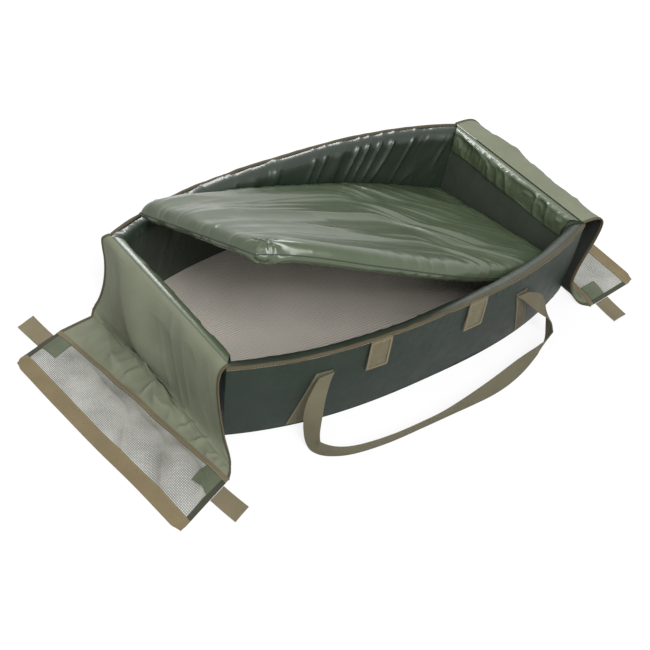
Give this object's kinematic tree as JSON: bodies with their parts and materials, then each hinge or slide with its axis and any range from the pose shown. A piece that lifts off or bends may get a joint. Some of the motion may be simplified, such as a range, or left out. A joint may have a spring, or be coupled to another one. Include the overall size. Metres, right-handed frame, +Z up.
{
  "type": "unhooking mat",
  "caption": "Cradle-style fish unhooking mat with padded walls, a lift-out mattress, netted end flaps and carrying handles.",
  "frame": {"origin": "middle of the base panel's underside, on the ground", "axes": "+X along the mat to the end where the mattress lies down, +Y to the far long side, +Z up"},
  "size_m": [1.542, 0.8954, 0.3941],
  "materials": {
    "outer_nylon": "coated woven nylon, dark green",
    "flap_nylon": "light coated nylon, olive",
    "wall_liner": "glossy coated cloth, dark green",
    "pad_cover": "glossy coated cloth, olive green",
    "floor_mesh": "fine draining mesh, taupe",
    "net_mesh": "open knitted net, pale grey",
    "webbing": "woven tape and webbing, khaki",
    "loop_pile": "hook-and-loop pile, khaki",
    "foam": "closed-cell foam"
  },
  "bodies": {
    "mat_body": {"base_panel": "outer_nylon", "far_left_loop_patch": "loop_pile", "far_left_sewn_web": "webbing", "far_right_loop_patch": "loop_pile", "far_right_sewn_web": "webbing", "far_rim_binding": "webbing", "far_wall_cover": "outer_nylon", "far_wall_foam": "foam", "far_wall_liner": "wall_liner", "floor_mesh": "floor_mesh", "left_rim_binding": "webbing", "left_wall_cover": "outer_nylon", "left_wall_foam": "foam", "left_wall_liner": "wall_liner", "near_left_loop_patch": "loop_pile", "near_left_sewn_web": "webbing", "near_right_loop_patch": "loop_pile", "near_right_sewn_web": "webbing", "near_rim_binding": "webbing", "near_wall_cover": "outer_nylon", "near_wall_foam": "foam", "near_wall_liner": "wall_liner", "right_rim_binding": "webbing", "right_wall_cover": "outer_nylon", "right_wall_foam": "foam", "right_wall_liner": "wall_liner"},
    "left_flap": {"left_drop_panel": "flap_nylon", "left_drop_near_binding": "webbing", "left_drop_far_binding": "webbing"},
    "left_apron": {"left_apron_panel": "flap_nylon", "left_seam_tape": "webbing", "left_net": "net_mesh", "left_net_hem": "webbing", "left_net_near_tape": "flap_nylon", "left_net_far_tape": "flap_nylon", "left_near_tab_patch": "flap_nylon", "left_far_tab_patch": "flap_nylon"},
    "right_flap": {"right_drop_panel": "flap_nylon", "right_drop_near_binding": "webbing", "right_drop_far_binding": "webbing"},
    "right_apron": {"right_apron_panel": "flap_nylon", "right_seam_tape": "webbing", "right_net": "net_mesh", "right_net_hem": "webbing", "right_net_near_tape": "flap_nylon", "right_net_far_tape": "flap_nylon", "right_near_tab_patch": "flap_nylon", "right_far_tab_patch": "flap_nylon"},
    "left_near_tab": {"left_near_tab": "webbing"},
    "left_far_tab": {"left_far_tab": "webbing"},
    "right_near_tab": {"right_near_tab": "webbing"},
    "right_far_tab": {"right_far_tab": "webbing"},
    "near_handle": {"near_handle_webbing": "webbing"},
    "far_handle": {"far_handle_webbing": "webbing"},
    "pad": {"pad_top_cover": "pad_cover", "pad_bottom_cover": "pad_cover", "pad_foam": "foam"}
  },
  "joints": [
    {"name": "left_flap_fold", "type": "hinge", "parent": "mat_body", "child": "left_flap", "pos_m": [-0.519, 0, 0.21105], "axis": [0, 1, 0], "range_deg": [0, 180]},
    {"name": "left_flap_crease", "type": "hinge", "parent": "left_flap", "child": "left_apron", "pos_m": [-0.5486, -0.037, 0.0062], "axis": [-0.0236, 0.9997, 0], "range_deg": [-90, 0]},
    {"name": "right_flap_fold", "type": "hinge", "parent": "mat_body", "child": "right_flap", "pos_m": [0.519, 0, 0.21105], "axis": [0, -1, 0], "range_deg": [0, 180]},
    {"name": "right_flap_crease", "type": "hinge", "parent": "right_flap", "child": "right_apron", "pos_m": [0.5526, -0.019, 0.0062], "axis": [-0.1461, -0.9893, 0], "range_deg": [-90, 0]},
    {"name": "left_near_tab_fold", "type": "hinge", "parent": "left_apron", "child": "left_near_tab", "pos_m": [-0.6118, -0.3656, 0.002], "axis": [-0.9265, -0.3762, 0], "range_deg": [0, 90]},
    {"name": "left_far_tab_fold", "type": "hinge", "parent": "left_apron", "child": "left_far_tab", "pos_m": [-0.6971, 0.1991, 0.002], "axis": [0.9559, 0.2936, 0], "range_deg": [0, 90]},
    {"name": "right_near_tab_fold", "type": "hinge", "parent": "right_apron", "child": "right_near_tab", "pos_m": [0.5798, -0.3214, 0.002], "axis": [-0.9945, -0.1052, 0], "range_deg": [0, 90]},
    {"name": "right_far_tab_fold", "type": "hinge", "parent": "right_apron", "child": "right_far_tab", "pos_m": [0.6659, 0.2575, 0.002], "axis": [0.9984, 0.0559, 0], "range_deg": [0, 90]},
    {"name": "near_handle_swing", "type": "hinge", "parent": "mat_body", "child": "near_handle", "pos_m": [-0.026, -0.3133, 0.1455], "axis": [-0.9999, 0.0129, 0], "range_deg": [0, 140]},
    {"name": "far_handle_swing", "type": "hinge", "parent": "mat_body", "child": "far_handle", "pos_m": [-0.026, 0.3133, 0.1455], "axis": [0.9999, 0.0129, 0], "range_deg": [0, 140]},
    {"name": "pad_lift", "type": "slide", "parent": "mat_body", "child": "pad", "axis": [0, 0, 1], "range_m": [0, 0.65]}
  ],
  "couplings": [
    {"joint": "left_flap_crease", "follows": "left_flap_fold", "ratio": -0.5},
    {"joint": "right_flap_crease", "follows": "right_flap_fold", "ratio": -0.5}
  ]
}
